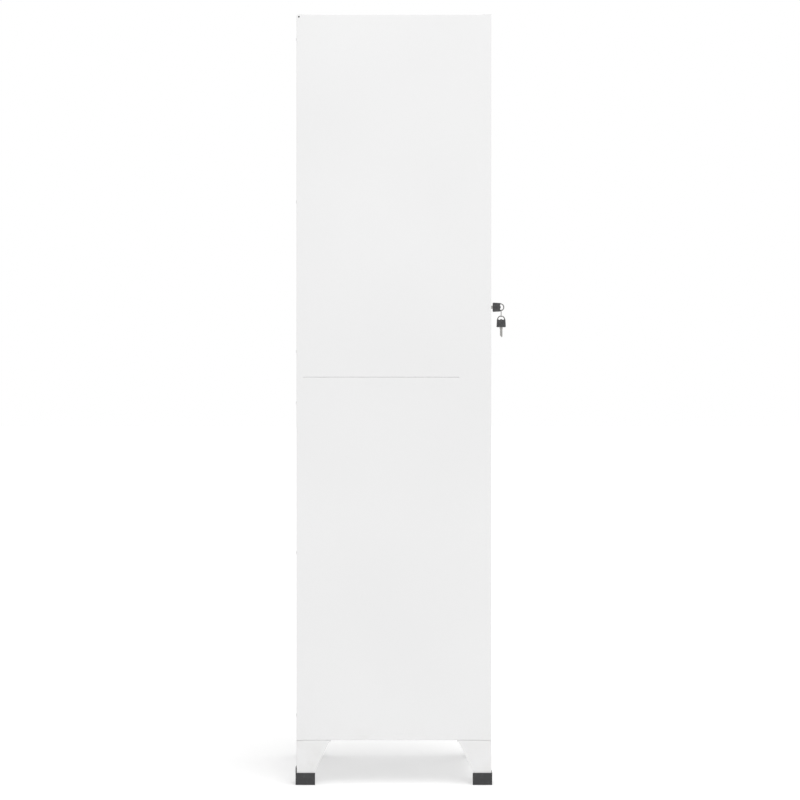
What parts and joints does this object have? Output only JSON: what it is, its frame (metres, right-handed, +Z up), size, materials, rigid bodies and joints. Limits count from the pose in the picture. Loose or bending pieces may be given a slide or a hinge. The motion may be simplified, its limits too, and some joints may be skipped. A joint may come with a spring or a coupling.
{
  "type": "locker cabinet",
  "caption": "Tall narrow white steel locker on folded legs, with a full-height hinged door, a cam lock with keys on a ring, a hat shelf and a hanging rail.",
  "frame": {"origin": "on the floor, under the middle of the cabinet's outer box with its keys", "axes": "+Z up, the door faces -Y, the hinge is on the +X side and the lock on the -X side"},
  "size_m": [0.3844, 0.4939, 1.8],
  "materials": {
    "powder_coat": "satin white powder coat with a fine orange peel",
    "cap_plastic": "moulded dark grey plastic",
    "zinc_steel": "bright zinc plate",
    "rail_chrome": "polished chrome plate",
    "lock_nickel": "satin nickel plate",
    "key_plastic": "black ribbed plastic",
    "key_steel": "nickel-plated steel",
    "nylon": "natural nylon",
    "buffer_rubber": "soft grey rubber"
  },
  "bodies": {
    "casing": {"side_left_upper": "powder_coat", "side_left_lower": "powder_coat", "shelf_bracket_left": "powder_coat", "rail_socket_left": "rail_chrome", "leg_front_left": "powder_coat", "foot_cap_front_left": "cap_plastic", "leg_rear_left": "powder_coat", "foot_cap_rear_left": "cap_plastic", "side_right_upper": "powder_coat", "side_right_lower": "powder_coat", "shelf_bracket_right": "powder_coat", "rail_socket_right": "rail_chrome", "leg_front_right": "powder_coat", "foot_cap_front_right": "cap_plastic", "leg_rear_right": "powder_coat", "foot_cap_rear_right": "cap_plastic", "back_upper": "powder_coat", "back_lower": "powder_coat", "top_panel": "powder_coat", "bottom_panel": "powder_coat", "hat_shelf": "powder_coat", "hanging_rail": "rail_chrome", "seam_bolts": "zinc_steel", "seam_nuts": "zinc_steel", "roof_screws": "zinc_steel", "leg_bolts": "zinc_steel", "leg_nuts": "zinc_steel", "back_rivets": "powder_coat", "hinge_bush_top": "nylon", "hinge_bush_bottom": "nylon", "door_buffers": "buffer_rubber"},
    "door": {"door_pan": "powder_coat", "door_stiffener": "powder_coat", "pivot_pin_top": "zinc_steel", "pivot_pin_bottom": "zinc_steel", "lock_body": "lock_nickel", "lock_nut": "zinc_steel"},
    "lock": {"lock_plug": "lock_nickel", "lock_cam": "zinc_steel", "cam_screw": "zinc_steel"},
    "key": {"key_blade": "key_steel", "key_head": "key_plastic", "key_bail": "key_steel"},
    "ring": {"key_ring": "key_steel"},
    "spare_key": {"spare_key_blade": "key_steel", "spare_key_head": "key_plastic", "spare_key_bail": "key_steel"}
  },
  "joints": [
    {"name": "door_swing", "type": "hinge", "parent": "casing", "child": "door", "pos_m": [0.1595, -0.2031, 0.952], "axis": [0, 0, 1], "range_deg": [0, 110]},
    {"name": "lock_turn", "type": "hinge", "parent": "door", "child": "lock", "pos_m": [-0.1375, -0.2091, 1.118], "axis": [0, 1, 0], "range_deg": [0, 90]},
    {"name": "key_pull", "type": "slide", "parent": "lock", "child": "key", "axis": [0, -1, 0], "range_m": [0, 0.022]},
    {"name": "ring_swing", "type": "hinge", "parent": "key", "child": "ring", "pos_m": [-0.1375, -0.2349, 1.11], "axis": [0, 1, 0], "range_deg": [-40, 40]},
    {"name": "spare_key_swing", "type": "hinge", "parent": "ring", "child": "spare_key", "pos_m": [-0.1375, -0.2349, 1.09502], "axis": [1, 0, 0], "range_deg": [-55, 18]}
  ]
}
